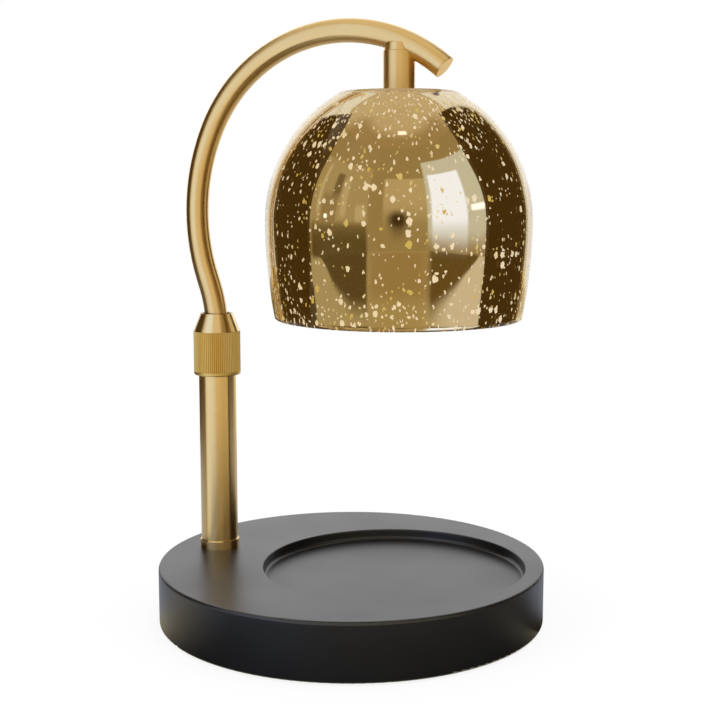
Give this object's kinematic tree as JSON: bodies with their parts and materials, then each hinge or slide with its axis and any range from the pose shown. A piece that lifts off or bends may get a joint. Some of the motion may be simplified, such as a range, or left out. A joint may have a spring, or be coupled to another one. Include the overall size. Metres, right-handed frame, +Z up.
{
  "type": "candle warmer lamp",
  "caption": "Table lamp that warms a candle from above: round base with a jar seat, telescoping swivel arm and a mirrored glass dome shade.",
  "frame": {"origin": "centre of the base on the surface that it stands on", "axes": "+Z up; +X from the pole towards the lamp, in the plane of the bent arm"},
  "size_m": [0.16, 0.16, 0.2453],
  "materials": {
    "lacquered_wood": "satin black lacquer",
    "foam_pad": "matt closed-cell foam",
    "black_nylon": "moulded",
    "satin_brass": "satin, lacquered",
    "turned_brass": "turned",
    "knurled_brass": "straight knurl",
    "zinc_steel": "zinc plated",
    "silicone": "clear silicone",
    "mirrored_glass": "gold mirrored inside, speckled",
    "glazed_ceramic": "glazed white",
    "lead_sleeve": "clear sleeve over two cores",
    "reflector_coat": "dichroic coated glass",
    "clear_glass": "clear"
  },
  "bodies": {
    "base": {"base_disc": "lacquered_wood", "foot_pad": "foam_pad", "cord_gland": "black_nylon", "pole_foot": "satin_brass", "pole_tube": "satin_brass", "base_nipple": "zinc_steel", "nipple_washer": "zinc_steel", "nipple_nut": "zinc_steel", "collar_bush": "turned_brass"},
    "collet": {"split_collet": "turned_brass"},
    "lock_collar": {"lock_collar": "knurled_brass"},
    "slider": {"guide_bush": "black_nylon"},
    "arm": {"arm_tube": "satin_brass", "arm_end_plug": "satin_brass", "arm_end_ferrule": "black_nylon", "guide_circlip": "zinc_steel", "stem_neck": "satin_brass", "stem_tube": "satin_brass", "top_gasket": "silicone", "glass_shade": "mirrored_glass", "bottom_gasket": "silicone", "clamp_disc": "turned_brass", "holder_bracket": "zinc_steel", "clamp_nut": "zinc_steel", "stem_nipple": "zinc_steel", "lamp_holder": "glazed_ceramic", "contact_clips": "turned_brass", "bracket_screws": "zinc_steel", "lamp_lead": "lead_sleeve"},
    "bulb": {"bulb_cap": "glazed_ceramic", "bulb_pins": "zinc_steel", "bulb_reflector": "reflector_coat", "bulb_lens": "clear_glass", "bulb_capsule": "clear_glass"}
  },
  "joints": [
    {"name": "arm_height", "type": "slide", "parent": "base", "child": "slider", "axis": [0, 0, 1], "range_m": [0, 0.05]},
    {"name": "arm_swivel", "type": "hinge", "parent": "slider", "child": "arm", "pos_m": [-0.0612, 0, 0.04], "axis": [0, 0, 1], "range_deg": [-90, 90]},
    {"name": "collet_lift", "type": "slide", "parent": "base", "child": "collet", "axis": [0, 0, 1], "range_m": [0, 0.0004166]},
    {"name": "collar_turn", "type": "hinge", "parent": "collet", "child": "lock_collar", "pos_m": [-0.0612, 0, 0.11], "axis": [0, 0, 1], "range_deg": [0, 150]},
    {"name": "bulb_twist", "type": "hinge", "parent": "arm", "child": "bulb", "pos_m": [0.0203, 0, 0.186], "axis": [0, 0, -1], "range_deg": [0, 22]}
  ],
  "couplings": [
    {"joint": "collar_turn", "follows": "collet_lift", "rad_per_m": 6283.2}
  ]
}
